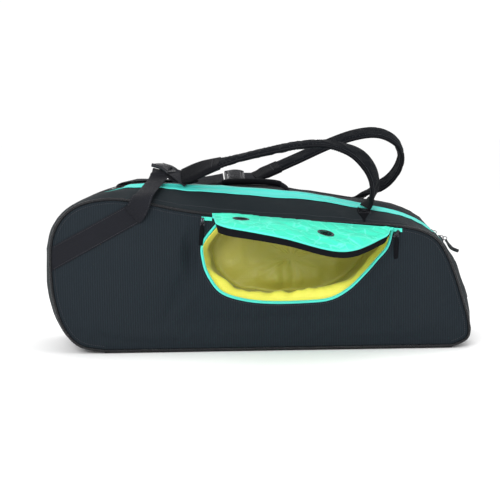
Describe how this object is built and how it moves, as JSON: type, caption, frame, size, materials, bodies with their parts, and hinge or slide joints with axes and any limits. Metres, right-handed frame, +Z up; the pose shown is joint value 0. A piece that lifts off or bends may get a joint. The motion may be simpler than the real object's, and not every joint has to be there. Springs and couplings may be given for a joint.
{
  "type": "racket tournament bag",
  "caption": "Long soft racket bag with twin zipped compartments, padded carry straps, a grab handle and a side shoe pocket under a lifting flap.",
  "frame": {"origin": "on the flat underside, at the middle of the bag's depth and below the middle of its grab handle's span", "axes": "+X along the bag's length towards its lower, slanting end; +Y from the front panel with the shoe pocket to the back panel; +Z up"},
  "size_m": [0.7804, 0.4165, 0.3983],
  "materials": {
    "shell_fabric": "fine ribbed weave",
    "gusset_fabric": "plain weave",
    "dark_fabric": "matte woven",
    "piping_fabric": "satin cord",
    "webbing": "ribbed webbing",
    "teal_fabric": "coated, faceted tone on tone print",
    "teal_tape": "zip tape with a slight sheen",
    "yellow_lining": "thin ripstop lining",
    "dark_metal": "black satin",
    "strap_fabric": "padded woven",
    "lock_plastic": "satin moulded",
    "board_plastic": "matte sheet"
  },
  "bodies": {
    "root": {"base_panel": "gusset_fabric", "front_base_board": "board_plastic", "back_base_board": "board_plastic", "divider": "shell_fabric", "left_end_gusset_front": "gusset_fabric", "left_end_gusset_back": "gusset_fabric", "right_end_gusset_front": "gusset_fabric", "right_end_gusset_back": "gusset_fabric", "front_inner_gusset": "gusset_fabric", "back_inner_gusset": "gusset_fabric", "front_zip_inner_tape": "teal_tape", "back_zip_inner_tape": "dark_fabric", "front_zip_end_tab": "dark_fabric", "back_zip_end_tab": "dark_fabric", "handle_anchor_left": "webbing", "handle_anchor_right": "webbing"},
    "front_cover": {"front_panel": "shell_fabric", "front_piping": "piping_fabric", "front_outer_gusset": "gusset_fabric", "front_zip_outer_tape": "teal_tape", "shoe_pocket_liner": "yellow_lining", "pocket_mouth_tape": "teal_tape", "front_diagonal_webbing": "webbing", "front_lock_webbing": "webbing", "near_strap_anchor": "webbing"},
    "back_cover": {"back_panel": "shell_fabric", "back_piping": "piping_fabric", "back_outer_gusset": "gusset_fabric", "back_zip_outer_tape": "dark_fabric", "back_diagonal_webbing": "webbing", "back_lock_webbing": "webbing", "far_strap_anchor": "webbing"},
    "shoe_flap_body": {"shoe_flap": "teal_fabric", "flap_edge_tape": "dark_fabric", "flap_eyelet_left": "dark_metal", "flap_eyelet_right": "dark_metal"},
    "front_slider": {"front_zip_slider": "dark_metal"},
    "front_puller": {"front_zip_puller": "piping_fabric"},
    "back_slider": {"back_zip_slider": "dark_metal"},
    "back_puller": {"back_zip_puller": "piping_fabric"},
    "pocket_left_carriage": {"pocket_left_slider": "dark_metal"},
    "pocket_left_pull": {"pocket_left_puller": "piping_fabric"},
    "pocket_right_carriage": {"pocket_right_slider": "dark_metal"},
    "pocket_right_pull": {"pocket_right_puller": "piping_fabric"},
    "handle": {"grab_handle": "dark_fabric"},
    "near_strap": {"near_strap_pad": "strap_fabric", "near_strap_tail": "webbing"},
    "near_lock": {"near_ladder_lock": "lock_plastic"},
    "far_strap": {"far_strap_pad": "strap_fabric", "far_strap_tail": "webbing"},
    "far_lock": {"far_ladder_lock": "lock_plastic"}
  },
  "joints": [
    {"name": "front_cover_hinge", "type": "hinge", "parent": "root", "child": "front_cover", "pos_m": [0, -0.1245, 0.0045], "axis": [1, 0, 0], "range_deg": [0, 14]},
    {"name": "back_cover_hinge", "type": "hinge", "parent": "root", "child": "back_cover", "pos_m": [0, 0.1245, 0.0045], "axis": [-1, 0, 0], "range_deg": [0, 14]},
    {"name": "shoe_flap_hinge", "type": "hinge", "parent": "front_cover", "child": "shoe_flap_body", "pos_m": [0.0755, -0.134, 0.23875], "axis": [0.9971, 0, -0.0761], "range_deg": [-40, 72]},
    {"name": "front_zip_slide", "type": "slide", "parent": "front_cover", "child": "front_slider", "axis": [0.4651, 0, -0.8852], "range_m": [0, 0.05]},
    {"name": "front_puller_swing", "type": "hinge", "parent": "front_slider", "child": "front_puller", "pos_m": [0.33825, -0.074, 0.20119], "axis": [0, -1, 0], "range_deg": [0, 110]},
    {"name": "back_zip_slide", "type": "slide", "parent": "back_cover", "child": "back_slider", "axis": [0.4651, 0, -0.8852], "range_m": [0, 0.05]},
    {"name": "back_puller_swing", "type": "hinge", "parent": "back_slider", "child": "back_puller", "pos_m": [0.33825, 0.074, 0.20119], "axis": [0, -1, 0], "range_deg": [0, 110]},
    {"name": "pocket_left_slide", "type": "slide", "parent": "front_cover", "child": "pocket_left_carriage", "axis": [0, 0, -1], "range_m": [0, 0.06]},
    {"name": "pocket_left_puller_swing", "type": "hinge", "parent": "pocket_left_carriage", "child": "pocket_left_pull", "pos_m": [-0.103, -0.1338, 0.236], "axis": [-1, 0, 0], "range_deg": [0, 100]},
    {"name": "pocket_right_slide", "type": "slide", "parent": "front_cover", "child": "pocket_right_carriage", "axis": [-0.6392, 0, -0.769], "range_m": [0, 0.06]},
    {"name": "pocket_right_puller_swing", "type": "hinge", "parent": "pocket_right_carriage", "child": "pocket_right_pull", "pos_m": [0.2455, -0.1338, 0.209], "axis": [-1, 0, 0], "range_deg": [0, 100]},
    {"name": "grab_handle_hinge", "type": "hinge", "parent": "root", "child": "handle", "pos_m": [-0.012, 0, 0.2845], "axis": [0.9967, 0, -0.0806], "range_deg": [-50, 50]},
    {"name": "near_strap_hinge", "type": "hinge", "parent": "front_cover", "child": "near_strap", "pos_m": [0.0175, -0.0815, 0.291], "axis": [0.9763, -0.1047, -0.1896], "range_deg": [-8, 28]},
    {"name": "near_lock_tilt", "type": "hinge", "parent": "near_strap", "child": "near_lock", "pos_m": [-0.15535, -0.06286, 0.32461], "axis": [0.3961, 0.9164, 0.0581], "range_deg": [0, 25]},
    {"name": "far_strap_hinge", "type": "hinge", "parent": "back_cover", "child": "far_strap", "pos_m": [0.0815, 0.07887, 0.28688], "axis": [-0.9533, -0.1768, 0.2449], "range_deg": [-8, 45]},
    {"name": "far_lock_tilt", "type": "hinge", "parent": "far_strap", "child": "far_lock", "pos_m": [-0.02724, 0.05873, 0.31475], "axis": [-0.0572, 0.9382, 0.3414], "range_deg": [0, 25]}
  ]
}
